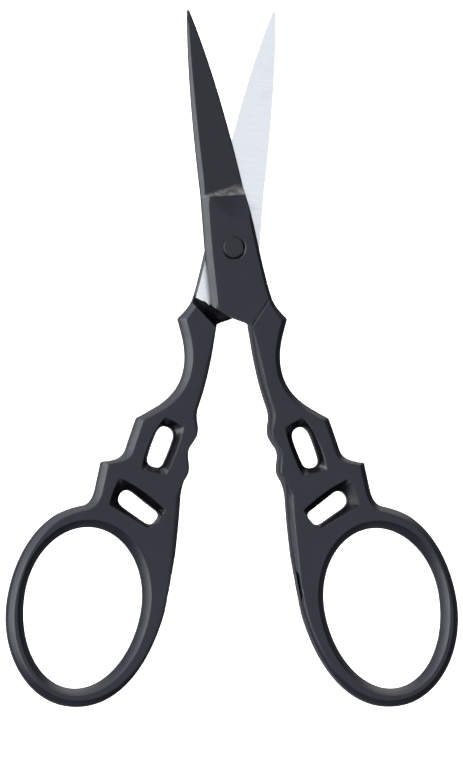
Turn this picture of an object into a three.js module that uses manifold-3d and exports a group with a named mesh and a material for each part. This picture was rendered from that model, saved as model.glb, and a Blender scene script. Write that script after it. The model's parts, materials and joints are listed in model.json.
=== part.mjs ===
// Embroidery scissors (thread snips) with black coated halves and oval finger bows.
// Units are millimetres and +Z is up. The scissors lie on their back on the plane z = 0 with
// the blades towards +Y, and the pivot axis is the Z axis.
//
// Both halves are the same forging, so one half is designed here, in the closed position, and
// the rear half is that half turned over about the long axis. Each half has a blade and a tang
// in its own layer (upper or lower) and a handle of full thickness behind the step.

import * as THREE from 'three';
import { mergeVertices } from 'three/addons/utils/BufferGeometryUtils.js';
import Module from 'manifold-3d';

const wasm = await Module();
wasm.setup();

// Driving dimensions
const THICKNESS = 3.8;            // over both tangs, and of each handle
const MID = THICKNESS / 2;        // the plane where the two halves meet
const LAYER_GAP = 0.06;           // running clearance between the ground inner faces
const INNER = MID + LAYER_GAP / 2; // inner face of the upper half
const REST_OPENING = 21.4;        // degrees between the halves as they lie
const TIP_Y = 38.3;               // blade tip from the pivot

const HANDLE_CHAMFER = 0.95;      // chamfer round the handle, in plan
const HANDLE_CHAMFER_DEPTH = 0.9; // and down from the face
const TANG_CHAMFER = 0.6;
const TANG_CHAMFER_DEPTH = 0.55;

const RIVET_RADIUS = 1.65;
const RIVET_EDGE = 0.15;          // chamfer on the rivet's two ends
const RUNNING_FIT = 0.05;         // radial clearance in the half that turns
const FIXED_FIT = 0.02;           // and in the half that holds the rivet
const COUNTERSINK = 0.2;          // chamfer at the mouth of each rivet hole
const ROUND_SIDES = 48;           // facets round the rivet and its holes

// The finger hole is two half ellipses on one centre line, narrower towards its far end.
const BOW = {
  x: 13.12,
  y: -59.3,
  halfWidth: 9.35,
  top: 11.8,
  bottom: 13.72,
};

const PANEL_DEPTH = 0.8;          // of the sunk panels round the handle's slots
const PANEL_SLOPE = 0.7;          // how far their walls lean in

// The step behind the tang, where the half thickens from one layer to the full handle
const STEP_FOOT = { x: 4.5, y: -8.7 };
const STEP_SLOPE = THREE.MathUtils.degToRad(25.2);
const STEP_RUN = 1.75;            // length of the ramp, in plan
const STEP_HOLLOW = 1.2;          // how far the ramp's curve follows the inner face
const RELIEF_GAP = 0.12;          // from the other half's ramp, when closed
const RELIEF_REACH = 5.7;         // past the centre line, where the handles part
const LAP_REACH = 60;             // far enough to clear the whole blade
const TANG_ROOT = 1.5;            // how far the tang's blank starts below its inner face

// The groove across the face between tang and handle
const GROOVE_TOP = { x: 4.3, y: -8.84 };
const GROOVE_FOOT = { x: 0.5, y: -12.92 };
const GROOVE_LENGTH = 8;
const GROOVE_DEPTH = 0.35;

// The blade
const BLADE_Y = 9.3;              // its shoulder from the pivot
const BLADE_ROOT_Y = 7.8;         // how far back it runs into the tang
const SHOULDER_RUN = 0.9;
const BLADE_FACE_HEIGHT = 2.75;   // of the face at the shoulder, in the middle
const BLADE_SLOPE = THREE.MathUtils.degToRad(9.3);
const BLADE_TAPER = THREE.MathUtils.degToRad(0.4);

const OVERCUT = 1;                // how far a cutting body runs past what it cuts
const CURVE_STEPS = 10;           // straight steps in each curve of an outline
const SMALL_CURVE_STEPS = 6;      // and in the curves of the windows and the step

// ---------------------------------------------------------------------------------------
// Joining and cutting

function solidFrom(geometry) {
  const bare = geometry.clone();
  bare.deleteAttribute('normal');
  bare.deleteAttribute('uv');
  const merged = mergeVertices(bare, 1e-5);
  return new wasm.Manifold(new wasm.Mesh({
    numProp: 3,
    vertProperties: new Float32Array(merged.attributes.position.array),
    triVerts: new Uint32Array(merged.index.array),
  }));
}

function geometryFrom(solid) {
  const mesh = solid.getMesh();
  const geometry = new THREE.BufferGeometry();
  geometry.setAttribute('position', new THREE.BufferAttribute(mesh.vertProperties, 3));
  geometry.setIndex(new THREE.BufferAttribute(mesh.triVerts, 1));
  geometry.computeVertexNormals();
  return geometry;
}

// A plate with the shape's full outline in the middle of its thickness and a chamfer, in plan
// and down from the face, at both faces.
function chamferedPlate(shape, bottom, top, chamfer, chamferDepth, curveSegments) {
  const geometry = new THREE.ExtrudeGeometry(shape, {
    depth: top - bottom - 2 * chamferDepth,
    bevelEnabled: true,
    bevelSegments: 1,
    bevelSize: chamfer,
    bevelOffset: -chamfer,
    bevelThickness: chamferDepth,
    curveSegments,
  });
  geometry.translate(0, 0, bottom + chamferDepth);
  return geometry;
}

function straightPlate(shape, bottom, top, curveSegments) {
  const geometry = new THREE.ExtrudeGeometry(shape, {
    depth: top - bottom,
    bevelEnabled: false,
    curveSegments,
  });
  geometry.translate(0, 0, bottom);
  return geometry;
}

// ---------------------------------------------------------------------------------------
// Outlines, in the closed position: x = 0 is the line where the two handles meet

// Handle and bow, with the knobbed inner edge and the stepped outer edge. The lines beside
// each sharp corner are longer than the chamfer's mitre there.
function handleOutline() {
  const shape = new THREE.Shape();
  // Inner edge, from the crotch down past two small knobs to the bow
  shape.moveTo(-2.2, -10.2);
  shape.lineTo(0.4, -12.76);
  shape.quadraticCurveTo(0.3, -14, 0.3, -16);
  shape.quadraticCurveTo(0.25, -21.5, 1.03, -26.2);
  shape.quadraticCurveTo(0.9, -27.6, 0.3, -29.6);
  shape.quadraticCurveTo(0.88, -31.2, 1.28, -32.7);
  shape.quadraticCurveTo(1.05, -34.2, 0.54, -36.1);
  shape.quadraticCurveTo(1.1, -37, 1.16, -39.4);
  shape.quadraticCurveTo(0.3, -47, 0.06, -53.6);
  // Round the bow
  shape.bezierCurveTo(0, -67, 4.85, -75.9, 13.12, -75.9);
  shape.bezierCurveTo(19.3, -75.9, 25, -69.2, 25, -60.5);
  shape.bezierCurveTo(25, -54.4, 22.95, -49.45, 19.8, -46.6);
  // Outer edge, up over two square steps and a sharp spur
  shape.quadraticCurveTo(18.1, -45.25, 15.95, -44.4);
  shape.quadraticCurveTo(14.6, -43.85, 14.42, -41.8);
  shape.lineTo(14.35, -37.1);
  shape.lineTo(12.85, -36.65);
  shape.quadraticCurveTo(11.1, -35.95, 10.83, -34.45);
  shape.lineTo(10.05, -29.2);
  shape.lineTo(8.0, -27.55);
  shape.quadraticCurveTo(4.0, -24.4, 4.03, -20.2);
  shape.quadraticCurveTo(4.0, -17.8, 5.28, -15);
  shape.lineTo(6.46, -12.5);
  shape.lineTo(5.62, -11.4);
  shape.quadraticCurveTo(4.83, -10.2, 4.63, -9.2);
  shape.lineTo(4.32, -6.6);
  shape.closePath();
  shape.holes.push(bowHole());
  return shape;
}

function bowHole() {
  const hole = new THREE.Path();
  hole.absellipse(BOW.x, BOW.y, BOW.halfWidth, BOW.top, 0, Math.PI, false);
  hole.absellipse(BOW.x, BOW.y, BOW.halfWidth, BOW.bottom, Math.PI, 2 * Math.PI, false);
  return hole;
}

// The tang round the pivot, from the step under the blade down into the handle. Its free
// corner, at the lower left, is the one that slides over the other half.
function tangOutline() {
  const shape = new THREE.Shape();
  shape.moveTo(-3.45, BLADE_Y);
  shape.quadraticCurveTo(-3.75, 5.5, -4.35, 0);
  shape.quadraticCurveTo(-4.75, -4, -5.15, -8.2);
  shape.lineTo(-3.9, -10.0);
  shape.lineTo(-2.2, -10.85);
  shape.lineTo(-0.67, -11.74);
  shape.lineTo(0.4, -12.76);
  shape.lineTo(1.9, -14.6);
  shape.lineTo(4.5, -10.9);
  shape.quadraticCurveTo(4.1, -6.5, 4.0, 0);
  shape.quadraticCurveTo(3.85, 5, 3.4, BLADE_Y);
  shape.closePath();
  return shape;
}

function bladeOutline() {
  const shape = new THREE.Shape();
  shape.moveTo(2.6, BLADE_ROOT_Y);
  shape.lineTo(3.55, BLADE_Y);
  shape.bezierCurveTo(3.15, 18.5, 2.2, 29.4, 0.26, TIP_Y);
  shape.lineTo(-0.08, TIP_Y);
  shape.quadraticCurveTo(-2.3, 26.6, -3.45, BLADE_Y);
  shape.lineTo(-2.6, BLADE_ROOT_Y);
  shape.closePath();
  return shape;
}

// ---------------------------------------------------------------------------------------
// Windows in the handle: a sunk panel on each face, and a slot through its floor

function upperPanel() {
  const shape = new THREE.Shape();
  shape.moveTo(2.76, -29.4);
  shape.lineTo(4.33, -37.45);
  shape.lineTo(8.13, -37.2);
  shape.quadraticCurveTo(8.3, -33, 5.8, -28.2);
  shape.closePath();
  return shape;
}

function lowerPanel() {
  const shape = new THREE.Shape();
  shape.moveTo(11.4, -39.05);
  shape.quadraticCurveTo(6, -38.6, 3.2, -43.2);
  shape.lineTo(5.25, -46.0);
  shape.lineTo(12.2, -43.7);
  shape.closePath();
  return shape;
}

// A slot with round ends between two centres.
function slotOutline(x1, y1, x2, y2, radius) {
  const along = Math.atan2(y2 - y1, x2 - x1);
  const shape = new THREE.Shape();
  shape.absarc(x2, y2, radius, along - Math.PI / 2, along + Math.PI / 2, false);
  shape.absarc(x1, y1, radius, along + Math.PI / 2, along + 1.5 * Math.PI, false);
  shape.closePath();
  return shape;
}

function upperSlot() {
  return slotOutline(5.17, -31.0, 5.75, -35.0, 1.55);
}

function lowerSlot() {
  return slotOutline(5.35, -44.05, 9.2, -42.1, 1.5);
}

// Each cutter is full size at the face and narrows down to the panel's floor.
function panelCutters(shape) {
  const front = chamferedPlate(shape, THICKNESS - PANEL_DEPTH, THICKNESS + 2 * PANEL_DEPTH,
    PANEL_SLOPE, PANEL_DEPTH, SMALL_CURVE_STEPS);
  const back = chamferedPlate(shape, -2 * PANEL_DEPTH, PANEL_DEPTH,
    PANEL_SLOPE, PANEL_DEPTH, SMALL_CURVE_STEPS);
  return [solidFrom(front), solidFrom(back)];
}

function slotCutter(shape) {
  const plate = straightPlate(shape, -OVERCUT, THICKNESS + OVERCUT, SMALL_CURVE_STEPS);
  return solidFrom(plate);
}

// ---------------------------------------------------------------------------------------
// Cuts along a slanted line in the plan: the step and the groove

// Sweeps a profile along a line of the plan. In the profile, x is the distance from the line
// towards the blade and y is the height. The sweep runs from one distance to another beyond
// the given point, counted to the right.
function sweepAlong(profile, point, slope, from, to) {
  const geometry = new THREE.ExtrudeGeometry(profile, {
    depth: to - from,
    bevelEnabled: false,
    curveSegments: SMALL_CURVE_STEPS,
  });
  geometry.translate(0, 0, from);
  const up = new THREE.Vector3(0, 0, 1);
  const towardsBlade = new THREE.Vector3(-Math.sin(slope), Math.cos(slope), 0);
  const along = new THREE.Vector3().crossVectors(towardsBlade, up);
  const place = new THREE.Matrix4().makeBasis(towardsBlade, up, along);
  place.setPosition(point.x, point.y, 0);
  geometry.applyMatrix4(place);
  return solidFrom(geometry);
}

// Clears the lower layer for the other half's tang and blade. A ramp leads from the foot of
// the step, on the inner face, out to the back of the handle.
function lapCutter() {
  const profile = new THREE.Shape();
  profile.moveTo(0, INNER);
  profile.quadraticCurveTo(-STEP_HOLLOW, INNER, -STEP_RUN, 0);
  profile.lineTo(-STEP_RUN, -OVERCUT);
  profile.lineTo(LAP_REACH, -OVERCUT);
  profile.lineTo(LAP_REACH, INNER);
  profile.closePath();
  return sweepAlong(profile, STEP_FOOT, STEP_SLOPE, -LAP_REACH / 2, LAP_REACH / 2);
}

// Relieves the free corner of the tang where the other half's ramp is when the scissors are
// closed.
function cornerReliefCutter() {
  const foot = RELIEF_GAP;
  const back = foot - 3 * STEP_RUN;
  const otherFoot = { x: -STEP_FOOT.x, y: STEP_FOOT.y };
  const profile = new THREE.Shape();
  profile.moveTo(foot, INNER);
  profile.quadraticCurveTo(foot - STEP_HOLLOW, INNER, foot - STEP_RUN, THICKNESS);
  profile.lineTo(foot - STEP_RUN, THICKNESS + OVERCUT);
  profile.lineTo(back, THICKNESS + OVERCUT);
  profile.lineTo(back, INNER - OVERCUT);
  profile.lineTo(foot, INNER - OVERCUT);
  profile.closePath();
  return sweepAlong(profile, otherFoot, -STEP_SLOPE, -RELIEF_REACH, RELIEF_REACH);
}

function grooveCutter() {
  const profile = new THREE.Shape();
  profile.moveTo(0, THICKNESS - GROOVE_DEPTH);
  profile.lineTo(-2 * GROOVE_DEPTH, THICKNESS + GROOVE_DEPTH);
  profile.lineTo(2 * GROOVE_DEPTH, THICKNESS + GROOVE_DEPTH);
  profile.closePath();
  const slope = Math.atan2(GROOVE_TOP.y - GROOVE_FOOT.y, GROOVE_TOP.x - GROOVE_FOOT.x);
  return sweepAlong(profile, GROOVE_FOOT, slope, -2 * OVERCUT, GROOVE_LENGTH);
}

// ---------------------------------------------------------------------------------------
// Blade and pivot

// Lowers the blade's face behind the ramp of the shoulder, and slopes it from the spine down
// to the cutting edge and towards the tip.
function bladeFaceCutter() {
  const profile = new THREE.Shape();
  profile.moveTo(0, 0);
  profile.lineTo(-SHOULDER_RUN, 2 * SHOULDER_RUN);
  profile.lineTo(-SHOULDER_RUN, 2 * THICKNESS);
  profile.lineTo(TIP_Y, 2 * THICKNESS);
  profile.lineTo(TIP_Y, 0);
  profile.closePath();
  const width = TIP_Y;
  const geometry = new THREE.ExtrudeGeometry(profile, { depth: width, bevelEnabled: false });
  geometry.translate(0, 0, -width / 2);
  // The profile's x runs along the blade and its y is the height.
  geometry.applyMatrix4(new THREE.Matrix4().makeBasis(
    new THREE.Vector3(0, 1, 0), new THREE.Vector3(0, 0, 1), new THREE.Vector3(1, 0, 0),
  ));
  geometry.rotateX(-BLADE_TAPER);
  geometry.rotateY(BLADE_SLOPE);
  geometry.translate(0, BLADE_Y, BLADE_FACE_HEIGHT);
  return solidFrom(geometry);
}

// A turned body about the pivot axis. Each point is a radius and a height, from the bottom up.
function turned(points) {
  const profile = points.map(([radius, height]) => new THREE.Vector2(radius, height));
  const geometry = new THREE.LatheGeometry(profile, ROUND_SIDES);
  geometry.rotateX(Math.PI / 2);
  return geometry;
}

function rivetHoleCutter(fit) {
  const radius = RIVET_RADIUS + fit;
  return solidFrom(turned([
    [0, 0],
    [radius, 0],
    [radius, THICKNESS - COUNTERSINK],
    [radius + COUNTERSINK + OVERCUT, THICKNESS + OVERCUT],
    [0, THICKNESS + OVERCUT],
  ]));
}

function rivetGeometry() {
  return turned([
    [0, 0],
    [RIVET_RADIUS - RIVET_EDGE, 0],
    [RIVET_RADIUS, RIVET_EDGE],
    [RIVET_RADIUS, THICKNESS - RIVET_EDGE],
    [RIVET_RADIUS - RIVET_EDGE, THICKNESS],
    [0, THICKNESS],
  ]);
}

// ---------------------------------------------------------------------------------------
// One half of the scissors, as the upper half, closed

function halfGeometry(fit) {
  const handle = solidFrom(chamferedPlate(handleOutline(), 0, THICKNESS,
    HANDLE_CHAMFER, HANDLE_CHAMFER_DEPTH, CURVE_STEPS));
  const tang = solidFrom(chamferedPlate(tangOutline(), INNER - TANG_ROOT, THICKNESS,
    TANG_CHAMFER, TANG_CHAMFER_DEPTH, CURVE_STEPS));
  const blade = solidFrom(straightPlate(bladeOutline(), INNER, THICKNESS, CURVE_STEPS));
  const cutters = [
    lapCutter(),
    cornerReliefCutter(),
    grooveCutter(),
    bladeFaceCutter(),
    rivetHoleCutter(fit),
    slotCutter(upperSlot()),
    slotCutter(lowerSlot()),
    ...panelCutters(upperPanel()),
    ...panelCutters(lowerPanel()),
  ];
  const blank = handle.add(tang).add(blade);
  const half = cutters.reduce((solid, cutter) => solid.subtract(cutter), blank);
  return geometryFrom(half);
}

// ---------------------------------------------------------------------------------------
// Materials and assembly

function coating(name) {
  return new THREE.MeshStandardMaterial({
    name,
    color: 0x2a2b2e,
    roughness: 0.5,
    metalness: 0.2,
  });
}

function frontHalf() {
  const turnedHalf = new THREE.Group();
  const mesh = new THREE.Mesh(halfGeometry(RUNNING_FIT), coating('black_coating'));
  mesh.name = 'front_half';
  turnedHalf.add(mesh);
  turnedHalf.rotation.z = THREE.MathUtils.degToRad(REST_OPENING / 2);
  return turnedHalf;
}

// The same half turned over about the long axis.
function rearHalf() {
  const turnedHalf = new THREE.Group();
  const mesh = new THREE.Mesh(halfGeometry(FIXED_FIT), coating('black_coating'));
  mesh.name = 'rear_half';
  mesh.rotation.y = Math.PI;
  mesh.position.z = THICKNESS;
  turnedHalf.add(mesh);
  turnedHalf.rotation.z = THREE.MathUtils.degToRad(-REST_OPENING / 2);
  return turnedHalf;
}

function pivotRivet() {
  const mesh = new THREE.Mesh(rivetGeometry(), coating('rivet_coating'));
  mesh.name = 'pivot_rivet';
  return mesh;
}

const scissors = new THREE.Group();
scissors.add(frontHalf(), rearHalf(), pivotRivet());

export default scissors;
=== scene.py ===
"""Embroidery scissors (thread snips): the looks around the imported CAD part.

Lengths are in millimetres in the half's own frame until a mesh is made, and in metres after
that. Both halves are the same forging. It is laid out here closed and lying on its back, as the
upper half, with the pivot at the origin and the blade towards +Y. The rear half is the same
forging turned over.

Each half is two reliefs, its outer face and its inner face, over one outline. Every ridge, foot
and rim is a line of mesh vertices, and side walls join the two reliefs.
"""

import json
import math

import bmesh
import bpy
import numpy as np
from mathutils import Matrix, Vector
from mathutils.geometry import delaunay_2d_cdt


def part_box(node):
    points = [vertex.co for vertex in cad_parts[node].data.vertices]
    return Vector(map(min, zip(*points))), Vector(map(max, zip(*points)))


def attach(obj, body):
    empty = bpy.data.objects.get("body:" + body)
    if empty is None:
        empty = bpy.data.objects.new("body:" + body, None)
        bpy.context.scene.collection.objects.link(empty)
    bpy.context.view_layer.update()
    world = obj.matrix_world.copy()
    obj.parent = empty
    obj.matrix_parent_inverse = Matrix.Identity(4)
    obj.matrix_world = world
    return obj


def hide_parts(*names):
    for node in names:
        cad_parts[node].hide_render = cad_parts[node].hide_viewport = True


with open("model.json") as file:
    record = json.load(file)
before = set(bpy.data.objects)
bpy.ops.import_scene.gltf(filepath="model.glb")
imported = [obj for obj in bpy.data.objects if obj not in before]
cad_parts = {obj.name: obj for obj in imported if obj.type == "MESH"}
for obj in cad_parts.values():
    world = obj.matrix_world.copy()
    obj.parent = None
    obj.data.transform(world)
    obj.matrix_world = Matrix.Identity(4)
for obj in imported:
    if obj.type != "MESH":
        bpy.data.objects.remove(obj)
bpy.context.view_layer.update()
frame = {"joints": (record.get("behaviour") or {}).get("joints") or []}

MM = 0.001
JOINT = frame["joints"][0]
OPENING = -math.radians(JOINT["range_deg"][0])
LOW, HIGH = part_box("front_half")
THICKNESS = (HIGH.z - LOW.z) / MM
INNER = THICKNESS / 2 + 0.03

# ------------------------------------------------------------------------------------------
# Outline of one half


def bezier(points, count):
    """count points along a Bezier curve of any degree, without its first point."""
    t = np.linspace(0, 1, count + 1)[1:, None]
    degree = len(points) - 1
    total = 0
    for i, point in enumerate(points):
        weight = math.comb(degree, i) * (1 - t) ** (degree - i) * t**i
        total = total + weight * np.array(point, float)
    return total


def path(start, strokes, step):
    """A line of points about one step apart, through Bezier strokes given by their controls."""
    points = [np.array([start], float)]
    for stroke in strokes:
        controls = [tuple(points[-1][-1])] + list(stroke)
        rough = bezier(controls, 24)
        length = np.hypot(*np.diff(np.vstack([controls[0], rough]), axis=0).T).sum()
        count = max(2, int(round(length / step)))
        points.append(bezier(controls, count))
    return np.vstack(points)


OUTLINE_START = (-0.08, 38.3)
OUTLINE = [
    # Spine of the blade and the tang
    [(-2.3, 26.6), (-3.45, 9.3)],
    [(-3.86, 5.5), (-4.48, 0)],
    [(-4.84, -4), (-5.17, -8.2)],
    # Free corner of the tang, and the crotch
    [(-4.6, -9.2), (-3.2, -10.15)],
    [(-1.9, -11.1), (-0.67, -11.74)],
    [(0.05, -12.1), (0.42, -12.9)],
    # Inner edge of the handle, with two knobs
    [(0.4, -14.4), (0.32, -16.4)],
    [(0.22, -21.5), (0.95, -25.9)],
    [(1.08, -26.9), (0.68, -28.1)],
    [(0.1, -29.6), (0.43, -30.6)],
    [(0.75, -31.5), (1.1, -32.2)],
    [(1.38, -32.9), (1.08, -34.0)],
    [(0.6, -35.3), (0.58, -36.0)],
    [(0.58, -36.6), (0.97, -37.4)],
    [(1.28, -38.4), (1.12, -40.2)],
    [(0.3, -47), (0.06, -53.6)],
    # Round the finger bow
    [(0, -67), (4.85, -75.9), (13.12, -75.9)],
    [(19.3, -75.9), (25, -69.2), (25, -60.5)],
    [(25, -54.4), (22.95, -49.45), (19.8, -46.6)],
    # Outer edge, up over two steps and the spur
    [(18.1, -45.25), (15.95, -44.4)],
    [(14.65, -43.9), (14.47, -41.8)],
    [(14.38, -39.4), (14.33, -37.35)],
    [(14.3, -37.05), (14.0, -36.98)],
    [(13.6, -36.98), (12.85, -36.6)],
    [(11.1, -35.95), (10.83, -34.45)],
    [(10.48, -31.8), (10.1, -29.5)],
    [(10.03, -29.15), (9.75, -28.98)],
    [(8.85, -28.3), (8.0, -27.5)],
    [(4.0, -24.4), (4.03, -20.2)],
    [(4.0, -17.8), (5.28, -15)],
    [(5.85, -13.8), (6.38, -12.72)],
    [(6.46, -12.52), (6.3, -12.32)],
    [(4.88, -10.4), (4.6, -9.0)],
    [(4.22, -6.5), (4.03, 0)],
    [(3.9, 4.6), (3.55, 9.3)],
    # Cutting edge of the blade
    [(3.15, 18.5), (2.2, 29.4), (0.26, 38.2)],
    [(0.14, 38.34), (-0.08, 38.3)],
]

BOW_CENTRE = (13.12, -59.3)
BOW_LOWEST = (13.12, -75.9)
BOW_HALF_WIDTH = 9.35
BOW_TOP = 11.8
BOW_BOTTOM = 13.72


def bow_hole(step):
    """The finger hole: two half ellipses on one centre line."""
    count = int(round(75 / step))
    angle = np.linspace(0, 2 * math.pi, count, endpoint=False)
    height = np.where(np.sin(angle) > 0, BOW_TOP, BOW_BOTTOM)
    x = BOW_CENTRE[0] + BOW_HALF_WIDTH * np.cos(angle)
    y = BOW_CENTRE[1] + height * np.sin(angle)
    return np.column_stack([x, y])


# The two windows, and the sunk panel round each: a start and its strokes
UPPER_SLOT = ((3.75, -31.4), [
    [(3.7, -29.75), (5.3, -29.7)],
    [(6.5, -29.7), (6.85, -31.8)],
    [(7.2, -33.6), (7.3, -34.9)],
    [(7.45, -36.4), (5.9, -36.35)],
    [(4.75, -36.4), (4.5, -35.3)],
    [(4.0, -33.3), (3.75, -31.4)],
])
LOWER_SLOT = ((4.3, -43.1), [
    [(6.6, -41.95), (8.5, -40.95)],
    [(9.9, -40.3), (10.55, -41.6)],
    [(11.1, -42.9), (9.6, -43.6)],
    [(7.6, -44.5), (6.1, -45.15)],
    [(4.9, -45.7), (4.1, -44.75)],
    [(3.45, -43.7), (4.3, -43.1)],
])
UPPER_PANEL = ((2.5, -29.5), [
    [(2.65, -32.9), (3.85, -37.25)],
    [(3.95, -37.62), (4.4, -37.57)],
    [(6.2, -37.45), (7.9, -37.4)],
    [(8.3, -37.35), (8.25, -36.9)],
    [(8.25, -33.2), (6.4, -29.0)],
    [(6.05, -28.05), (5.4, -28.3)],
    [(4.1, -28.7), (2.8, -29.1)],
    [(2.52, -29.2), (2.5, -29.5)],
])
LOWER_PANEL = ((3.1, -43.0), [
    [(4.1, -44.6), (5.0, -46.0)],
    [(5.2, -46.25), (5.5, -46.15)],
    [(8.9, -44.9), (12.0, -43.85)],
    [(12.35, -43.7), (12.3, -43.3)],
    [(12.1, -41.0), (11.55, -39.4)],
    [(11.4, -38.95), (11.0, -39.0)],
    [(6.7, -40.2), (3.1, -42.6)],
    [(3.0, -42.8), (3.1, -43.0)],
])


def loop(spec, step):
    """A closed line of points, counter-clockwise, without a repeated last point."""
    points = path(*spec, step)[:-1]
    x, y = points.T
    area = (x * np.roll(y, -1) - np.roll(x, -1) * y).sum()
    return points if area > 0 else points[::-1]


# ------------------------------------------------------------------------------------------
# Bevels: how far each runs in from the outline, by the height along it


def along(y, table):
    """The value at y of a table of (y, value), from high y to low."""
    ys, values = np.array(table, float).T
    return np.interp(y, ys[::-1], values[::-1])


# How steep each bevel is
OUTER_SLOPE = 0.95
BOW_SLOPE = 1.1
BACK_INNER_SLOPE = 0.5
INNER_SLOPE = 1.3
SPINE_SLOPE = 0.75
CUTTING_SLOPE = 0.3
# Height of the edge between the spine's bevel and the side wall
SPINE_EDGE = [(38.3, 2.48), (34.7, 2.42), (30.2, 2.45), (25.7, 2.49), (18.9, 2.57), (12, 2.7),
              (9.3, 2.86), (7.5, 3.08), (4, 3.1), (0, 3.06), (-8.2, 3.02)]
# How far the others run in from the outline
INNER_BEVEL = [(-12.9, 0.12), (-13.3, 0.2), (-16, 0.5), (-19.4, 0.7), (-24.1, 0.62), (-26, 0.56),
               (-27.4, 0.62), (-28.6, 0.52), (-31.2, 0.05), (-32.6, 0.08), (-34.7, 0.4),
               (-36.2, 0.3), (-37.7, 0.05), (-38.7, 0.4), (-40.2, 0.85), (-42.3, 0.82),
               (-48.6, 0.8), (-60, 0.42), (-68, 0.55), (-75.9, 0.95)]
OUTER_BEVEL = [(9.3, 0.5), (6, 0.6), (-9, 0.62), (-10.5, 0.75), (-12.2, 0.92), (-27.6, 0.92),
               (-28.6, 0.8), (-29.6, 0.95), (-35.4, 0.95), (-36.4, 0.6), (-37.1, 0.6),
               (-37.6, 0.92), (-44, 0.95), (-80, 1.0)]
CUTTING_BEVEL = 0.2
FREE_CORNER_BEVEL = 0.14
PAINTED_MARGIN = 0.28

# ------------------------------------------------------------------------------------------
# The reliefs

BLADE_FACE = 2.8
BLADE_SLOPE = math.tan(math.radians(10))
BLADE_TAPER = math.tan(math.radians(0.4))
SHOULDER_TOP = 9.3


def rounded_step(x, radius):
    """max(x, 0), rounded off within the radius of 0."""
    return np.where(x > radius, x, np.where(x < -radius, 0, (x + radius) ** 2 / (4 * radius)))


def wave(x, y):
    """Slight unevenness of the forged faces."""
    return 0.008 * (np.sin(1.1 * x + 0.6 * y) * np.sin(0.8 * y - 0.5 * x)
                    + 0.6 * np.sin(2.1 * x - 1.3 * y + 1) * np.sin(1.7 * y + 0.9 * x))


def shoulder_foot(x):
    """Where the tang's face ends. It isn't quite square to the blade."""
    return 8.4 - 0.09 * np.clip(x, -4, 4)


def shoulder_top(x):
    """The ramp is longer on the cutting edge's side, where the blade's face is lowest."""
    return shoulder_foot(x) + 0.93 + 0.18 * np.clip(x, -4, 4)


def blade_face(x, y):
    across = BLADE_FACE - BLADE_SLOPE * x - BLADE_TAPER * (y - SHOULDER_TOP)
    hollow = 0.05 * np.clip(1 - (x / 3.2) ** 2, 0, 1)
    return across - hollow


def softness(y):
    """Radius of the ridges: crisp at the tang and soft at the finger bow."""
    return np.interp(y, [-58, -44, 9], [0.16, 0.06, 0.045])


def rim_width(y):
    """Width of the rounding where a bevel meets the side wall."""
    return np.interp(y, [-56, -44], [0.3, 0.07])


def step_foot(x):
    x = np.clip(x, -6, 6)
    ripple = 0.07 * np.sin(2.6 * x + 0.6) + 0.05 * np.sin(5.3 * x)
    return -8.65 - 0.475 * (4.56 - x) + ripple


def step_top(x):
    x = np.clip(x, -6, 6)
    return -10.28 - 0.715 * (4.33 - x)


def painted_from(x):
    """Where the coating begins on the inner face, above the foot of the step."""
    x = np.clip(x, -6, 6)
    return -8.62 - 0.3 * (4.56 - x) + 0.06 * np.sin(2.6 * x + 0.6) + 0.05 * np.sin(5.3 * x)


def step_height(x, y):
    """The inner face: the ground flat, and the hollow ramp down to the handle's back."""
    u = np.clip((step_foot(x) - y) / (step_foot(x) - step_top(x)), 0, 1)
    return INNER * (1 - u**2.2)


GROOVE = (np.array([0.5, -12.75]), np.array([4.3, -8.84]))
GROOVE_DEPTH = 0.13
GROOVE_LEFT = 0.24
GROOVE_RIGHT = 0.14


def groove(x, y):
    start, end = GROOVE
    direction = (end - start) / np.linalg.norm(end - start)
    across = (x - start[0]) * direction[1] - (y - start[1]) * direction[0]
    profile = np.where(across < 0, 1 + across / GROOVE_LEFT, 1 - across / GROOVE_RIGHT)
    return GROOVE_DEPTH * np.clip(profile, 0, 1)


def segments(points):
    return points, np.roll(points, -1, axis=0)


def distance_to(query, points):
    """Distance from each point of the query to a closed line."""
    a, b = segments(points)
    out = np.empty(len(query))
    for i in range(0, len(query), 2000):
        q = query[i:i + 2000, None, :]
        ab = (b - a)[None]
        t = np.clip(((q - a) * ab).sum(2) / (ab**2).sum(2), 0, 1)
        out[i:i + 2000] = np.sqrt(((q - a - t[..., None] * ab) ** 2).sum(2)).min(1)
    return out


def bevel_plane(query, points, edge, slope):
    """Lowest plane over each point of the query, where one rises inwards from each edge."""
    a, b = segments(points)
    edge_b = np.roll(edge, -1)
    slope_b = np.roll(slope, -1)
    out = np.empty(len(query))
    for i in range(0, len(query), 2000):
        q = query[i:i + 2000, None, :]
        ab = (b - a)[None]
        t = np.clip(((q - a) * ab).sum(2) / (ab**2).sum(2), 0, 1)
        d = np.sqrt(((q - a - t[..., None] * ab) ** 2).sum(2))
        height = edge + t * (edge_b - edge) + (slope + t * (slope_b - slope)) * d
        out[i:i + 2000] = height.min(1)
    return out


def inside(query, points):
    """Which points of the query are inside a closed line."""
    a, b = segments(points)
    out = np.zeros(len(query), bool)
    for i in range(0, len(query), 4000):
        q = query[i:i + 4000, None, :]
        crosses = (a[None, :, 1] > q[..., 1]) != (b[None, :, 1] > q[..., 1])
        run = np.where(b[:, 1] == a[:, 1], 1, b[:, 1] - a[:, 1])
        x = a[:, 0] + (q[..., 1] - a[:, 1]) * (b[:, 0] - a[:, 0]) / run
        out[i:i + 4000] = (crosses & (q[..., 0] < x)).sum(1) % 2 == 1
    return out


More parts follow.
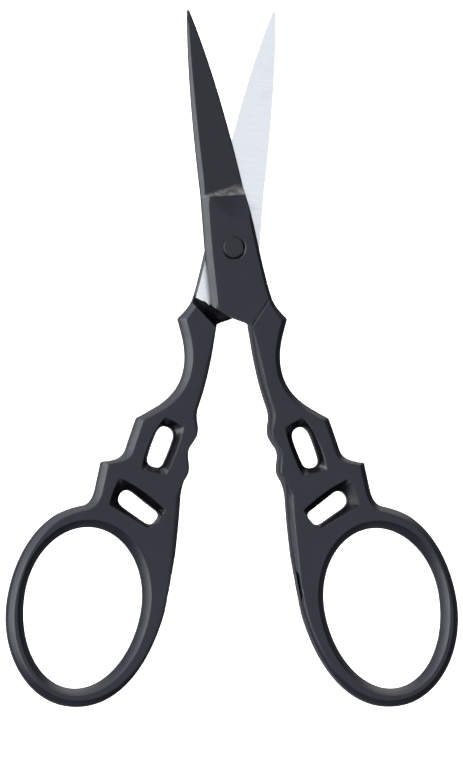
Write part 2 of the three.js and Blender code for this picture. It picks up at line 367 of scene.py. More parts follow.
STEP = 0.28
outline = path(OUTLINE_START, OUTLINE, STEP)[:-1]
finger_hole = bow_hole(0.3)
upper_slot, lower_slot = loop(UPPER_SLOT, 0.22), loop(LOWER_SLOT, 0.22)
upper_panel, lower_panel = loop(UPPER_PANEL, 0.25), loop(LOWER_PANEL, 0.25)
RIVET_HOLE = 1.7
turn = np.linspace(0, 2 * math.pi, 56, endpoint=False)
rivet_hole = RIVET_HOLE * np.column_stack([np.cos(turn), np.sin(turn)])


def nearest(x, y):
    """Index of the outline's point nearest to a place."""
    return int(np.argmin(np.hypot(outline[:, 0] - x, outline[:, 1] - y)))


# Which part of the outline each of its points belongs to
x, y = outline.T
order = np.arange(len(outline))
corner_top = nearest(-5.17, -8.2)
crotch = nearest(0.42, -12.9)
bow_end = nearest(*BOW_LOWEST)
shoulder_end = nearest(3.55, SHOULDER_TOP)
is_spine = order <= corner_top
is_free_corner = (order > corner_top) & (order < crotch)
is_inner = (order >= crotch) & (order < bow_end)
is_outer = (order >= bow_end) & (order < shoulder_end)
is_cutting = order >= shoulder_end

bevel = np.select([is_free_corner, is_inner, is_outer],
                  [FREE_CORNER_BEVEL, along(y, INNER_BEVEL), along(y, OUTER_BEVEL)],
                  CUTTING_BEVEL)
slope = np.select([is_spine, is_inner, is_cutting],
                  [SPINE_SLOPE, np.interp(y, [BOW_LOWEST[1], -64], [BOW_SLOPE, INNER_SLOPE]),
                   CUTTING_SLOPE],
                  np.interp(y, [-52, -44], [BOW_SLOPE, OUTER_SLOPE]))
face_there = np.where(y > SHOULDER_TOP - 0.2, blade_face(x, y), THICKNESS)
front_edge = np.where(is_spine, along(y, SPINE_EDGE), face_there - slope * bevel)

back_bevel = np.where(is_inner | (is_outer & (y < -8)), bevel, 0.0)
back_slope = np.where(is_inner, np.interp(y, [BOW_LOWEST[1], -64], [BOW_SLOPE, BACK_INNER_SLOPE]),
                      slope)
back_edge = back_slope * back_bevel
margin = np.where(is_outer & (y > -8.4), PAINTED_MARGIN, 0.0)

# ------------------------------------------------------------------------------------------
# Lines of the mesh


def normals(points):
    """Inward normal at each point of a counter-clockwise line, scaled to keep its mitre."""
    before = points - np.roll(points, 1, axis=0)
    after = np.roll(points, -1, axis=0) - points
    before /= np.linalg.norm(before, axis=1, keepdims=True)
    after /= np.linalg.norm(after, axis=1, keepdims=True)
    left_before = np.column_stack([-before[:, 1], before[:, 0]])
    left_after = np.column_stack([-after[:, 1], after[:, 0]])
    total = left_before + left_after
    return total / np.maximum(1 + (left_before * left_after).sum(1, keepdims=True), 0.35)


def offset_lines(points, amount, least=0.05):
    """The line moved inwards by an amount at each point, in open pieces where it vanishes."""
    moved = points + normals(points) * amount[:, None]
    a, b = segments(points)
    amount_b = np.roll(amount, -1)
    keep = np.zeros(len(points), bool)
    for i in range(0, len(moved), 2000):
        q = moved[i:i + 2000, None, :]
        ab = (b - a)[None]
        t = np.clip(((q - a) * ab).sum(2) / (ab**2).sum(2), 0, 1)
        d = np.sqrt(((q - a - t[..., None] * ab) ** 2).sum(2))
        need = np.maximum(amount + t * (amount_b - amount), 1e-6)
        keep[i:i + 2000] = ((d - need) > -0.03).all(1)
    wide = amount > least
    pieces, piece = [], []
    count = len(points)
    start = 0 if wide.all() else int(np.argmin(wide))
    for k in range(count + (1 if wide.all() else 0)):
        i = (start + k) % count
        if not wide[i]:
            if len(piece) > 1:
                pieces.append(piece)
            piece = []
        elif keep[i]:
            piece.append(moved[i])
    if len(piece) > 1:
        pieces.append(piece)
    return [np.array(p) for p in pieces]


def resample(points, step):
    """Points about one step apart on an open line."""
    lengths = np.hypot(*np.diff(points, axis=0).T)
    total = np.concatenate([[0], np.cumsum(lengths)])
    count = max(2, int(round(total[-1] / step)) + 1)
    at = np.linspace(0, total[-1], count)
    return np.column_stack([np.interp(at, total, points[:, k]) for k in (0, 1)])


def clipped(line, keep):
    """The runs of a line's points that are kept."""
    pieces, piece = [], []
    for point, ok in zip(line, keep):
        if ok:
            piece.append(point)
        else:
            if len(piece) > 1:
                pieces.append(np.array(piece))
            piece = []
    if len(piece) > 1:
        pieces.append(np.array(piece))
    return pieces


def trim(line, clearance):
    """The parts of a line that stay well inside the metal."""
    ok = inside(line, outline) & (distance_to(line, outline) > clearance)
    for hole in (finger_hole, upper_slot, lower_slot, rivet_hole):
        ok &= ~inside(line, hole) & (distance_to(line, hole) > clearance)
    return clipped(line, ok)


def closed(points):
    return np.vstack([points, points[:1]])


def panel_lines(panel, slot):
    lines = [closed(panel), closed(panel - normals(panel) * 0.07)]
    for amount in (0.08, 0.16, 0.24, 0.32, 0.55):
        for piece in offset_lines(panel, np.full(len(panel), amount)):
            ok = ~inside(piece, slot) & (distance_to(piece, slot) > 0.5)
            lines += clipped(piece, ok)
    for amount in (0.12, 0.28, 0.5):
        line = closed(slot - normals(slot) * amount)
        lines += clipped(line, inside(line, panel) & (distance_to(line, panel) > 0.06))
    return lines


RIM = 0.07
HOLE_BEVEL = 1.15
WALL_ROWS = 2
WALL_BULGE = 0.02
LINE_CLEARANCE = 0.045
LOOSE_CLEARANCE = 0.18
LOOSE_SPACING = 0.55
loops = [outline, finger_hole[::-1], upper_slot[::-1], lower_slot[::-1], rivet_hole[::-1]]


def front_ridge():
    """How far from each outline point its bevel meets the front face."""
    reach = np.arange(0, 2.2, 0.01)[None, :, None]
    at = outline[:, None, :] + normals(outline)[:, None, :] * reach
    face = np.where(at[..., 1] > SHOULDER_TOP - 0.4, blade_face(at[..., 0], at[..., 1]), THICKNESS)
    above = front_edge[:, None] + slope[:, None] * reach[..., 0] >= face
    return np.where(above.any(1), above.argmax(1) * 0.01, 0)


def bevel_rings(amount):
    """Lines across the outline's bevel: its middle, its ridge and the ridge's two shoulders."""
    soft = np.minimum(softness(outline[:, 1]), 0.3)
    rings = offset_lines(outline, np.full(len(outline), RIM), least=0.01)
    on_bow = outline[:, 1] < -44
    for share in (0.2, 0.35, 0.75, 1.5):
        rings += offset_lines(outline, np.where(on_bow, amount * share, 0))
    wide = np.where(amount > 0.22, amount, 0)
    rings += offset_lines(outline, np.where(wide > 0, wide - soft, 0), least=0.12)
    rings += offset_lines(outline, wide)
    rings += offset_lines(outline, np.where(wide > 0, wide + soft, 0))
    rings += offset_lines(outline, np.where(wide > 0.4, wide * 0.5, 0))
    return rings


def hole_rings():
    rings = []
    for share in (0.06, 0.2, 0.35, 0.5, 0.66, 0.83, 1.0, 1.2):
        amount = share * HOLE_BEVEL
        rings += offset_lines(finger_hole[::-1], np.full(len(finger_hole), amount))
    for amount in (0.06, 0.13, 0.2, 0.28, 0.42):
        radius = (RIVET_HOLE + amount) / RIVET_HOLE
        rings.append(closed(rivet_hole * radius))
    return rings


def front_lines():
    lines = bevel_rings(front_ridge()) + hole_rings()
    lines += panel_lines(upper_panel, upper_slot) + panel_lines(lower_panel, lower_slot)
    across = np.linspace(-4, 4, 28)
    for share in (-0.1, 0.0, 0.15, 0.5, 0.85, 1.0, 1.1):
        ys = shoulder_foot(across) + share * (shoulder_top(across) - shoulder_foot(across))
        lines.append(np.column_stack([across, ys]))
    start, end = GROOVE
    direction = (end - start) / np.linalg.norm(end - start)
    aside = np.array([direction[1], -direction[0]])
    for across in (-GROOVE_LEFT, 0.0, GROOVE_RIGHT):
        begin = start - direction + aside * across
        finish = end + direction + aside * across
        lines.append(resample(np.array([begin, finish]), 0.3))
    return lines


def back_lines():
    lines = bevel_rings(back_bevel) + hole_rings()
    lines += panel_lines(upper_panel, upper_slot) + panel_lines(lower_panel, lower_slot)
    xs = np.linspace(-5.2, 5.2, 40)
    lines.append(np.column_stack([xs, painted_from(xs)]))
    for share in (0.0, 0.25, 0.5, 0.7, 0.86, 1.0, 1.04):
        ys = step_foot(xs) + share * (step_top(xs) - step_foot(xs))
        lines.append(np.column_stack([xs, ys]))
    edge = offset_lines(outline, np.where(margin > 0, PAINTED_MARGIN, 0))
    return lines + edge


# ------------------------------------------------------------------------------------------
# Heights of the two faces

# The bevel round the finger hole is steepest at the hole
HOLE_FALL = 1.1
HOLE_HOLLOW = 0.33
RIM_DROP = 0.55
RIVET_GAP_WIDTH = 0.27
RIVET_GAP_DEPTH = 0.42


PANEL_DEPTH = 1.15
PANEL_ROUND = 0.16
# Widest funnel, edge to window, in each panel that still gets the darker coating of painted shade
UPPER_CORNER = 1.3
LOWER_CORNER = 2.1


def panel_depth(query, panel, slot):
    """A sunk panel round a window: a funnel with a softly rounded edge."""
    to_panel = distance_to(query, panel)
    to_slot = distance_to(query, slot)
    fallen = rounded_step(to_panel - PANEL_ROUND, PANEL_ROUND)
    funnel = PANEL_DEPTH * fallen / np.maximum(fallen + to_slot, 1e-6)
    return np.where(inside(query, panel), funnel, 0)


def common_drop(query):
    """What the panels and rims take off either face."""
    drop = panel_depth(query, upper_panel, upper_slot)
    drop += panel_depth(query, lower_panel, lower_slot)
    for line in (upper_slot, lower_slot):
        drop += 0.05 * np.clip(1 - distance_to(query, line) / 0.09, 0, 1) ** 2
    return drop


def ring_opening(angle):
    """How open the gap round the rivet is: the coating has nearly filled it at the top."""
    lobe = 0.5 + 0.5 * np.cos(angle + 1.0)
    return np.clip(0.06 + lobe * (0.85 + 0.35 * np.sin(5 * angle + 0.8)), 0, 1)


def rivet_gap(query):
    x, y = query.T
    out = np.hypot(x, y) - RIVET_HOLE
    depth = RIVET_GAP_DEPTH * ring_opening(np.arctan2(y, x))
    return depth * np.clip(1 - out / RIVET_GAP_WIDTH, 0, 1) ** 1.5


def apply_bevels(face, query, edge, slope):
    """Cuts the bevels round the outline and the holes, with rounded ridges."""
    soft = softness(query[:, 1])
    plane = bevel_plane(query, outline, edge, slope)
    face = face - rounded_step(face - plane, soft)
    inwards = distance_to(query, finger_hole)
    share = np.clip(1 - inwards / HOLE_BEVEL, 0, 1)
    face = face - HOLE_FALL * share - HOLE_HOLLOW * share**2
    rim = rim_width(query[:, 1])
    at_rim = np.clip(1 - distance_to(query, outline) / rim, 0, 1)
    return face - rivet_gap(query) - RIM_DROP * rim * at_rim**2


def front_height(query):
    x, y = query.T
    face = THICKNESS + wave(x, y)
    ramp = np.clip((y - shoulder_foot(x)) / (shoulder_top(x) - shoulder_foot(x)), 0, 1)
    ramp = 0.9 * ramp + 0.1 * ramp**2 * (3 - 2 * ramp)
    face = face + ramp * (blade_face(x, y) - face)
    face = face - groove(x, y) - common_drop(query)
    lowest = INNER + 0.1
    return np.clip(apply_bevels(face, query, front_edge, slope), lowest, THICKNESS)


RELIEF_EDGE = 0.25
RELIEF_BLEND = 0.15


def back_height(query):
    """The inner face and the back of the handle, as heights above the back plane."""
    x, y = query.T
    handle = THICKNESS - common_drop(query) + 0.5 * wave(x + 7, y)
    edge = THICKNESS - np.where(back_bevel > 0, back_edge, -1)
    handle = THICKNESS - apply_bevels(handle, query, edge, back_slope)
    ramp = step_height(x, y)
    height = np.maximum(np.maximum(handle, 0), ramp)
    # The free corner rides over the other half's ramp when the scissors close.
    u = np.clip((step_foot(-x) - y) / (step_foot(-x) - step_top(-x)), 0, 1)
    relief = INNER + 0.06 + INNER * u**2.2
    blend = np.clip((RELIEF_EDGE - x) / RELIEF_BLEND, 0, 1)
    raised = np.maximum(height, height + blend * (relief - height))
    height = np.where((u > 0) & (x < RELIEF_EDGE), raised, height)
    side = np.interp(y, [-8.6, -8.2], [0, 1]) * (x > 0) * (y < 9.3)
    painted = PAINTED_MARGIN - distance_to(query, outline)
    return height + side * 0.9 * np.clip(painted, 0, 1)


# ------------------------------------------------------------------------------------------
# Mesh of one half


def scatter(spacing):
    """An even spread of points over the metal, well away from its edges."""
    low, high = outline.min(0), outline.max(0)
    rows = np.arange(low[1], high[1], spacing * 0.87)
    points = []
    for k, row in enumerate(rows):
        xs = np.arange(low[0] + (k % 2) * spacing / 2, high[0], spacing)
        points.append(np.column_stack([xs, np.full(len(xs), row)]))
    points = np.vstack(points)
    keep = inside(points, outline) & (distance_to(points, outline) > 0.2)
    points = points[keep]
    keep = np.ones(len(points), bool)
    for hole in (finger_hole, upper_slot, lower_slot, rivet_hole):
        keep &= ~inside(points, hole) & (distance_to(points, hole) > 0.2)
    return points[keep]


def triangulate(lines, loose):
    """Triangles over the metal that keep every given line. The loops' points come first."""
    points = [p for line in loops for p in line]
    edges = []
    base = 0
    for line in loops:
        count = len(line)
        edges += [(base + i, base + (i + 1) % count) for i in range(count)]
        base += count
    fixed = base
    line_points = []
    for line in lines:
        for piece in trim(line, LINE_CLEARANCE):
            first = len(points)
            closed_piece = np.hypot(*(piece[0] - piece[-1])) < 1e-6
            count = len(piece) - 1 if closed_piece else len(piece)
            points += list(piece[:count])
            edges += [(first + i, first + i + 1) for i in range(count - 1)]
            if closed_piece:
                edges.append((first + count - 1, first))
            line_points.append(piece)
    near = np.vstack(line_points)
    keep = np.ones(len(loose), bool)
    for i in range(0, len(loose), 500):
        q = loose[i:i + 500, None, :]
        keep[i:i + 500] = ((q - near) ** 2).sum(2).min(1) > LOOSE_CLEARANCE**2
    points += list(loose[keep])
    coords = [Vector((p[0], p[1])) for p in points]
    out, _, faces, origin, _, _ = delaunay_2d_cdt(coords, edges, [], 0, 1e-4)
    xy = np.array([[v[0], v[1]] for v in out])
    place = {}
    for new, olds in enumerate(origin):
        for old in olds:
            if old < fixed:
                place[old] = new
    faces = np.array([f for f in faces])
    middle = xy[faces].mean(1)
    keep = inside(middle, outline)
    for hole in loops[1:]:
        keep &= ~inside(middle, hole)
    return xy, faces[keep], [place[i] for i in range(fixed)]


# The third surface is a darker, less glossy coating: painted shade on the walls of the windows and on
# the step.
COATED, GROUND, SHADED_RECESS = range(3)


def in_shaded_recess(middle):
    """Whether each place is on the steep wall of a window, which gets the darker coating as painted
    shade.
    """
    out = np.zeros(len(middle), bool)
    for panel, slot, corner in ((upper_panel, upper_slot, UPPER_CORNER),
                                (lower_panel, lower_slot, LOWER_CORNER)):
        to_panel, to_slot = distance_to(middle, panel), distance_to(middle, slot)
        steep = (to_panel + to_slot < corner) & (to_panel > 0.14)
        out |= inside(middle, panel) & (steep | (to_slot < 0.25))
    return out


def front_surfaces(middle):
    return np.where(in_shaded_recess(middle), SHADED_RECESS, COATED)


def back_surfaces(middle):
    """The inner face is ground steel up to the step, apart from a painted margin."""
    x, y = middle.T
    off_edge = distance_to(middle, outline) > np.where((x > 0) & (y < 9.3), PAINTED_MARGIN, 0)
    ground = (y > painted_from(x)) & off_edge
    # The step, where the other half casts its shadow, gets the darker coating: painted shade.
    on_step = (y <= painted_from(x)) & (y > step_top(x))
    return np.select([ground, on_step | in_shaded_recess(middle)], [GROUND, SHADED_RECESS], COATED)


def half_mesh():
    """Vertices, faces and the surface of each face, for one half in its own frame."""
    loose = scatter(LOOSE_SPACING)
    front_xy, front_faces, front_ring = triangulate(front_lines(), loose)
    back_xy, back_faces, back_ring = triangulate(back_lines(), loose)
    front_z = front_height(front_xy)
    back_z = np.minimum(back_height(back_xy), THICKNESS - 0.05)
    count = len(front_xy)
    vertices = np.vstack([np.column_stack([front_xy, front_z]), np.column_stack([back_xy, back_z])])
    faces = [tuple(f) for f in front_faces] + [tuple(f[::-1] + count) for f in back_faces]
    surfaces = list(front_surfaces(front_xy[front_faces].mean(1)))
    surfaces += list(back_surfaces(back_xy[back_faces].mean(1)))
    base = 0
    extra = []
    next_index = len(vertices)
    for line in loops:
        n = len(line)
        top = [front_ring[base + i] for i in range(n)]
        bottom = [back_ring[base + i] + count for i in range(n)]
        out = -normals(line)
        levels = [top]
        for row in range(1, WALL_ROWS + 1):
            share = row / (WALL_ROWS + 1)
            z = vertices[top, 2] * (1 - share) + vertices[bottom, 2] * share
            bulge = WALL_BULGE * np.sin(share * math.pi)
            extra.append(np.column_stack([line + out * bulge, z]))
            levels.append(list(range(next_index, next_index + n)))
            next_index += n
        levels.append(bottom)
        in_window = line is loops[2] or line is loops[3]
        for upper, lower in zip(levels, levels[1:]):
            for i in range(n):
                j = (i + 1) % n
                faces.append((upper[i], lower[i], lower[j], upper[j]))
                # The walls of the windows get the darker coating: painted shade.
                surfaces.append(SHADED_RECESS if in_window else COATED)
        base += n
    vertices = np.vstack([vertices] + extra)
    return vertices, faces, surfaces


def edge_wear_and_highlight(b):
    """How sharply each vertex sticks out, from 0 on a face to 0.4 on an edge of 60 degrees. The
    coating is lightened by it: worn edges, and a painted highlight on them.
    """
    out = []
    for vertex in b.verts:
        bend = max(edge.calc_face_angle_signed(0) for edge in vertex.link_edges)
        out.append(0.4 * min(max((math.degrees(bend) - 15) / 45, 0), 1))
    return np.array(out, np.float32)


def shoulder_wear_and_highlight(places):
    """The ramp between tang and blade is lightened, most of all on the cutting edge's side: rubbed
    paint, and a painted highlight.
    """
    x, y, z = places.T
    up = (y - shoulder_foot(x)) / (shoulder_top(x) - shoulder_foot(x))
    rubbed_and_highlit = np.clip(1.1 - 0.6 * up, 0, 1) * np.interp(x, [-3.4, -1.5, 2.5], [0.4, 0.75, 1])
    on_ramp = (up > -0.02) & (up < 1.15) & (z > INNER + 0.2)
    return np.where(on_ramp, rubbed_and_highlit, 0)


def add_mesh(name, body, node, points, faces, local, wear_and_highlight_amount, smooth_below):
    """A closed piece with its place on the forging and its edges stored for the materials."""
    mesh = bpy.data.meshes.new(name)
    mesh.from_pydata((points * MM).tolist(), [], [list(map(int, f)) for f in faces])
    b = bmesh.new()
    b.from_mesh(mesh)
    open_edges = sum(1 for e in b.edges if not e.is_manifold)
    if open_edges:
        raise RuntimeError(f"{name} has {open_edges} open edges")
    bmesh.ops.recalc_face_normals(b, faces=b.faces)
    wear_and_highlight_amount = np.maximum(wear_and_highlight_amount, edge_wear_and_highlight(b))
    b.to_mesh(mesh)
    b.free()
    place = mesh.attributes.new("forging", "FLOAT_VECTOR", "POINT")
    place.data.foreach_set("vector", local.astype(np.float32).ravel())
    # How much the coating is lightened: worn edges and ramp, and a painted highlight there.
    wear_and_highlight = mesh.attributes.new("wear_and_highlight", "FLOAT", "POINT")
    wear_and_highlight.data.foreach_set("value", wear_and_highlight_amount.astype(np.float32))
    mesh.shade_smooth()
    mesh.set_sharp_from_angle(angle=math.radians(smooth_below))
    obj = bpy.data.objects.new(name, mesh)
    bpy.context.scene.collection.objects.link(obj)
    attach(obj, body)
    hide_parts(node)
    return obj


def add_half(name, body, node, turned_over):
    vertices, faces, surfaces = HALF
    placed = vertices.copy()
    angle = OPENING / 2
    if turned_over:
        placed[:, 0] *= -1
        placed[:, 2] = THICKNESS - placed[:, 2]
        angle = -angle
    c, s = math.cos(angle), math.sin(angle)
    placed[:, :2] = placed[:, :2] @ np.array([[c, s], [-s, c]])
    obj = add_mesh(name, body, node, placed, faces, vertices,
                   shoulder_wear_and_highlight(vertices), 28)
    for material in (black_coating, ground_steel, recess_shade_coating):
        obj.data.materials.append(material)
    obj.data.polygons.foreach_set("material_index", np.array(surfaces, np.int32))


# ------------------------------------------------------------------------------------------
# Materials


def new_material(name):
    material = bpy.data.materials.new(name)
    material.use_nodes = True
    nodes = material.node_tree.nodes
    return material, nodes, material.node_tree.links, nodes["Principled BSDF"]


def noise(nodes, links, place, scale, detail):
    node = nodes.new("ShaderNodeTexNoise")
    node.inputs["Scale"].default_value = scale
    node.inputs["Detail"].default_value = detail
    links.new(place, node.inputs["Vector"])
    return node.outputs["Fac"]


def ranged(nodes, links, value, low, high, to_low, to_high):
    """The value carried over from one range to another, and kept inside it."""
    node = nodes.new("ShaderNodeMapRange")
    node.inputs["From Min"].default_value = low
    node.inputs["From Max"].default_value = high
    node.inputs["To Min"].default_value = to_low
    node.inputs["To Max"].default_value = to_high
    links.new(value, node.inputs["Value"])
    return node.outputs["Result"]


def combined(nodes, links, operation, a, b):
    node = nodes.new("ShaderNodeMath")
    node.operation = operation
    for socket, value in zip(node.inputs, (a, b)):
        if isinstance(value, (int, float)):
            socket.default_value = value
        else:
            links.new(value, socket)
    return node.outputs[0]


def mixed(nodes, links, factor, a, b):
    """A colour between two, each a fixed colour or another node's output."""
    node = nodes.new("ShaderNodeMix")
    node.data_type = "RGBA"
    links.new(factor, node.inputs["Factor"])
    for socket, value in ((node.inputs[6], a), (node.inputs[7], b)):
        if isinstance(value, tuple):
            socket.default_value = (*value, 1)
        else:
            links.new(value, socket)
    return node.outputs[2]


def bumped(nodes, links, height, distance, strength, before=None):
    node = nodes.new("ShaderNodeBump")
    node.inputs["Distance"].default_value = distance * MM
    node.inputs["Strength"].default_value = strength
    links.new(height, node.inputs["Height"])
    if before is not None:
        links.new(before, node.inputs["Normal"])
    return node.outputs["Normal"]


def attribute(nodes, name, output):
    node = nodes.new("ShaderNodeAttribute")
    node.attribute_name = name
    return node.outputs[output]


def make_coating(name, dark, light, roughness, specular, wear_and_highlight_amount):
    """Satin coating over steel: fine grain, uneven gloss, and edges rubbed thin, their lighter colour
    also a painted highlight.
    """
    material, nodes, links, shader = new_material(name)
    place = attribute(nodes, "forging", "Vector")
    patches = noise(nodes, links, place, 0.35, 3)
    grain = noise(nodes, links, place, 7, 4)
    grit = noise(nodes, links, place, 22, 2)
    colour = mixed(nodes, links, ranged(nodes, links, patches, 0.3, 0.7, 0, 1), dark, light)
    speck = ranged(nodes, links, grit, 0.66, 0.78, 0, 0.5)
    colour = mixed(nodes, links, speck, colour, tuple(2.5 * c for c in light))
    edge = attribute(nodes, "wear_and_highlight", "Fac")
    patchy = ranged(nodes, links, noise(nodes, links, place, 1.6, 5), 0.38, 0.6, 0.35, 1)
    rubbed_and_highlit = combined(nodes, links, "MULTIPLY", ranged(nodes, links, edge, 0.2, 1, 0, wear_and_highlight_amount), patchy)
    # Lighter where worn, which is also a painted highlight on the edges and the shoulder ramp.
    colour = mixed(nodes, links, rubbed_and_highlit, colour, (0.22, 0.212, 0.205))
    links.new(colour, shader.inputs["Base Color"])
    gloss = ranged(nodes, links, patches, 0.3, 0.7, roughness - 0.035, roughness + 0.035)
    gloss = combined(nodes, links, "ADD", gloss, ranged(nodes, links, grain, 0.3, 0.7, -0.03, 0.03))
    gloss = combined(nodes, links, "SUBTRACT", gloss, combined(nodes, links, "MULTIPLY", rubbed_and_highlit, 0.1))
    links.new(gloss, shader.inputs["Roughness"])
    shader.inputs["Specular IOR Level"].default_value = specular
    normal = bumped(nodes, links, noise(nodes, links, place, 0.9, 2), 0.05, 0.35)
    normal = bumped(nodes, links, grain, 0.012, 0.5, normal)
    normal = bumped(nodes, links, grit, 0.005, 0.5, normal)
    links.new(normal, shader.inputs["Normal"])
    return material


GRIND_TILT = math.radians(4)


def make_steel(name):
    """Bright steel ground across the blade, with fine uneven lines."""
    material, nodes, links, shader = new_material(name)
    place = attribute(nodes, "forging", "Vector")
    turned = nodes.new("ShaderNodeMapping")
    turned.inputs["Rotation"].default_value = (0, 0, GRIND_TILT)
    links.new(place, turned.inputs["Vector"])
    stretched = nodes.new("ShaderNodeMapping")
    stretched.inputs["Scale"].default_value = (0.22, 4.5, 1)
    links.new(turned.outputs[0], stretched.inputs["Vector"])
    lines = noise(nodes, links, stretched.outputs[0], 1, 6)
    fine = noise(nodes, links, stretched.outputs[0], 4.5, 5)
    patches = noise(nodes, links, place, 0.4, 3)
    colour = mixed(nodes, links, ranged(nodes, links, lines, 0.3, 0.7, 0, 1),
                   (0.83, 0.85, 0.86), (0.94, 0.94, 0.93))
    scratch = ranged(nodes, links, fine, 0.56, 0.74, 0, 0.5)
    colour = mixed(nodes, links, scratch, colour, (0.66, 0.68, 0.7))
    dull = ranged(nodes, links, patches, 0.55, 0.8, 0, 0.4)
    colour = mixed(nodes, links, dull, colour, (0.74, 0.76, 0.77))
    links.new(colour, shader.inputs["Base Color"])
    shader.inputs["Metallic"].default_value = 1
    links.new(ranged(nodes, links, lines, 0.3, 0.7, 0.44, 0.3), shader.inputs["Roughness"])
    normal = bumped(nodes, links, lines, 0.02, 0.4)
    normal = bumped(nodes, links, fine, 0.006, 0.5, normal)
    links.new(normal, shader.inputs["Normal"])
    return material


black_coating = make_coating("black_coating", (0.0032, 0.0040, 0.0094), (0.0046, 0.0056, 0.0124),
                             0.42, 0.5, 0.8)
rivet_coating = make_coating("rivet_coating", (0.0032, 0.0038, 0.0086), (0.0048, 0.0056, 0.0114),
                             0.4, 0.5, 0.3)
# Near black and less glossy: painted shade for the window walls and the step.
recess_shade_coating = make_coating("recess_shade_coating", (0.0012, 0.0012, 0.002), (0.002, 0.002, 0.003),
                              0.34, 0.2, 0.1)
ground_steel = make_steel("ground_steel")

# Radius and how far each ring of the rivet's end lies below its middle
RIVET_PROFILE = [(0.5, 0.004), (1.0, 0.01), (1.35, 0.03), (1.5, 0.08), (1.6, 0.17), (1.65, 0.27),
                 (1.68, 0.42)]


RIVET_SIDES = 72


def add_rivet():
    """A peened pin: a nearly flat head with a rounded rim at each end."""
    rings = list(RIVET_PROFILE)
    rings += [(r, THICKNESS - z) for r, z in reversed(RIVET_PROFILE)]
    vertices = [(0, 0, 0.01)]
    for r, z in rings:
        for k in range(RIVET_SIDES):
            a = 2 * math.pi * k / RIVET_SIDES
            shut = 0.004 + 0.12 * max(r - 1.5, 0)  # where the coating fills the gap
            depth = min(z, THICKNESS - z)
            depth = shut + (depth - shut) * float(ring_opening(a)) if r > 1 else depth
            height = depth if z < THICKNESS / 2 else THICKNESS - depth
            vertices.append((r * math.cos(a), r * math.sin(a), height))
    vertices.append((0, 0, THICKNESS - 0.01))
    last = len(vertices) - 1
    faces = []
    for k in range(RIVET_SIDES):
        j = (k + 1) % RIVET_SIDES
        faces.append((0, 1 + j, 1 + k))
        for ring in range(len(rings) - 1):
            low, high = 1 + ring * RIVET_SIDES, 1 + (ring + 1) * RIVET_SIDES
            faces.append((low + k, low + j, high + j, high + k))
        top = 1 + (len(rings) - 1) * RIVET_SIDES
        faces.append((last, top + k, top + j))
    points = np.array(vertices)
    obj = add_mesh("rivet", "rear", "pivot_rivet", points, faces, points,
                   np.zeros(len(points)), 40)
    obj.data.materials.append(rivet_coating)


HALF = half_mesh()
add_half("front_forging", "front", "front_half", False)
add_half("rear_forging", "rear", "rear_half", True)
add_rivet()

# ------------------------------------------------------------------------------------------
# Camera, floor and light


CAMERA_LENS = 360.3
CAMERA_DISTANCE = 1.2
CAMERA_FROM_LEFT = math.radians(10.3)
CAMERA_FROM_BELOW = math.radians(3)
CAMERA_ROLL = math.radians(-0.15)


def look_from(direction, distance, target):
    data = bpy.data.cameras.new("camera")
    data.lens = CAMERA_LENS
    data.clip_start = 0.01
    camera = bpy.data.objects.new("camera", data)
    bpy.context.scene.collection.objects.link(camera)
    direction = Vector(direction).normalized()
    side = Vector((0, 1, 0)).cross(direction).normalized()
    up = direction.cross(side)
    roll = Matrix.Rotation(CAMERA_ROLL, 4, "Z")
    turn = Matrix((side, up, direction)).transposed().to_4x4() @ roll
    camera.matrix_world = Matrix.Translation(Vector(target) + direction * distance) @ turn
    bpy.context.scene.camera = camera


look_from((-math.sin(CAMERA_FROM_LEFT), -math.sin(CAMERA_FROM_BELOW),
           math.cos(CAMERA_FROM_LEFT)), CAMERA_DISTANCE, (-0.00012, -0.0208, 0.0019))

FLOOR_DROP = 0.12
FLOOR_SIZE = 0.52


def add_floor():
    """A white sheet some way below the scissors, bright enough to show no shadow."""
    mesh = bpy.data.meshes.new("floor")
    far = FLOOR_SIZE / 2
    mesh.from_pydata([(-far, -far, 0), (far, -far, 0), (far, far, 0), (-far, far, 0)],
                     [], [(0, 1, 2, 3)])
    floor = bpy.data.objects.new("floor", mesh)
    floor.location = (0, -0.02, -FLOOR_DROP)
    bpy.context.scene.collection.objects.link(floor)
    paper, nodes, links, shader = new_material("white_paper")
    shader.inputs["Base Color"].default_value = (0.8, 0.8, 0.8, 1)
    shader.inputs["Roughness"].default_value = 0.9
    shader.inputs["Emission Color"].default_value = (1, 1, 1, 1)
    shader.inputs["Emission Strength"].default_value = 1.0
    mesh.materials.append(paper)
    floor.visible_glossy = False


ROOM = 0.08
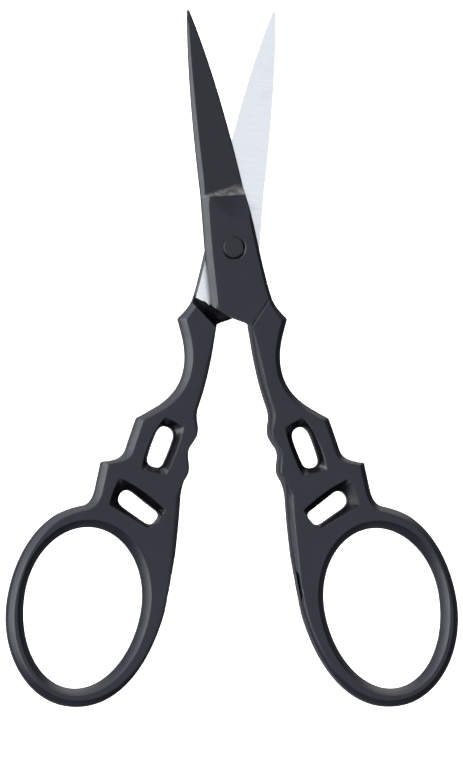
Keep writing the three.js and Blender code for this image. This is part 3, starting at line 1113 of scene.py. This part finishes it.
# Soft lights far away: direction, half angle that is fully lit, half angle where it ends,
# brightness, colour
SOFT_LIGHTS = [
    ((0.08, 0, 1), 35, 62, 0.8, (0.94, 0.98, 1.06)),
    ((-0.89, 0, 0.45), 16, 40, 5.5, (0.97, 1.0, 1.02)),
    ((-0.68, 0.68, 0.25), 8, 34, 2.6, (0.95, 1.0, 1.08)),
    ((0.12, 0.97, -0.2), 15, 45, 2.4, (1, 0.98, 0.95)),
    ((0, -0.9, -0.4), 10, 40, 0.3, (1, 1, 1)),
    ((0.8, 0, 0.6), 5, 30, 0.15, (1, 1, 1)),
    ((0, 0, -1), 30, 70, 0.36, (1, 1, 1)),
]


def add_world():
    """A dim room with soft lights round it, and a white backdrop."""
    world = bpy.data.worlds.new("studio")
    bpy.context.scene.world = world
    world.use_nodes = True
    nodes, links = world.node_tree.nodes, world.node_tree.links
    direction = nodes.new("ShaderNodeTexCoord").outputs["Generated"]
    room = nodes["Background"]
    room.inputs["Color"].default_value = (1, 1, 1, 1)
    room.inputs["Strength"].default_value = ROOM
    total = room.outputs[0]
    for axis, full, end, brightness, colour in SOFT_LIGHTS:
        dot = nodes.new("ShaderNodeVectorMath")
        dot.operation = "DOT_PRODUCT"
        links.new(direction, dot.inputs[0])
        dot.inputs[1].default_value = Vector(axis).normalized()
        fade = nodes.new("ShaderNodeMapRange")
        fade.interpolation_type = "SMOOTHSTEP"
        fade.inputs["From Min"].default_value = math.cos(math.radians(end))
        fade.inputs["From Max"].default_value = math.cos(math.radians(full))
        fade.inputs["To Max"].default_value = brightness
        links.new(dot.outputs["Value"], fade.inputs["Value"])
        light = nodes.new("ShaderNodeBackground")
        light.inputs["Color"].default_value = (*colour, 1)
        links.new(fade.outputs["Result"], light.inputs["Strength"])
        add = nodes.new("ShaderNodeAddShader")
        links.new(total, add.inputs[0])
        links.new(light.outputs[0], add.inputs[1])
        total = add.outputs[0]
    backdrop = nodes.new("ShaderNodeBackground")
    backdrop.inputs["Color"].default_value = (1, 1, 1, 1)
    path_info = nodes.new("ShaderNodeLightPath")
    mix = nodes.new("ShaderNodeMixShader")
    links.new(path_info.outputs["Is Camera Ray"], mix.inputs[0])
    links.new(total, mix.inputs[1])
    links.new(backdrop.outputs[0], mix.inputs[2])
    links.new(mix.outputs[0], nodes["World Output"].inputs["Surface"])


add_floor()
add_world()

bpy.context.scene.view_settings.view_transform = "Standard"

bpy.context.view_layer.update()
